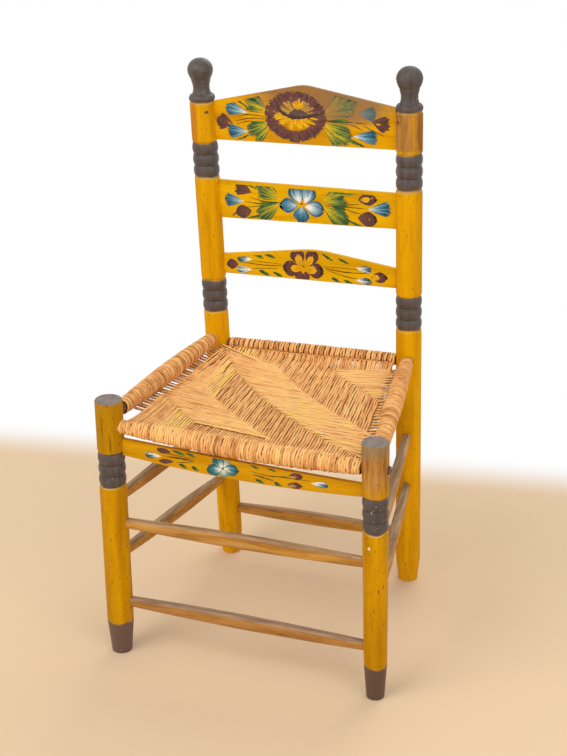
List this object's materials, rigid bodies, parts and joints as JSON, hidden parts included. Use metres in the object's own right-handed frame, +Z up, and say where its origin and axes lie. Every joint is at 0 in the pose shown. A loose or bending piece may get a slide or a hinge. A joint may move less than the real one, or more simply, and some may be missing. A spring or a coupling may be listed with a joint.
{
  "type": "rush-seat ladder-back side chair",
  "caption": "Painted ladder-back side chair with turned posts, ball finials, floral slats, plain stretchers and a twill-woven rush seat.",
  "frame": {"origin": "on the floor, under the middle of the chair's bounding box", "axes": "+Z up, -Y towards the chair's front, +X towards the right-hand side seen from the front"},
  "size_m": [0.4891, 0.4029, 0.9178],
  "materials": {
    "mustard_paint": "hand-brushed mustard paint with dark brown ring groups and painted flowers, worn satin",
    "worn_wood": "thin mustard wash worn back to greyish brown wood, matte",
    "bare_wood": "unpainted wood, matte",
    "rush": "dry twisted rush, woven"
  },
  "bodies": {
    "root": {"front_post_left": "mustard_paint", "front_post_right": "mustard_paint", "rear_post_left": "mustard_paint", "rear_post_right": "mustard_paint", "crest_slat": "mustard_paint", "middle_slat": "mustard_paint", "lower_slat": "mustard_paint", "front_apron": "mustard_paint", "front_stretcher_upper": "worn_wood", "front_stretcher_lower": "worn_wood", "rear_stretcher": "worn_wood", "left_stretcher_upper": "worn_wood", "left_stretcher_lower": "worn_wood", "right_stretcher_upper": "worn_wood", "right_stretcher_lower": "worn_wood", "seat_rail_front": "bare_wood", "seat_rail_rear": "bare_wood", "seat_rail_left": "bare_wood", "seat_rail_right": "bare_wood", "crest_pins": "bare_wood", "rush_roll_front": "rush", "rush_roll_rear": "rush", "rush_roll_left": "rush", "rush_roll_right": "rush", "seat_weave_top": "rush", "seat_weave_under": "rush"}
  },
  "joints": []
}
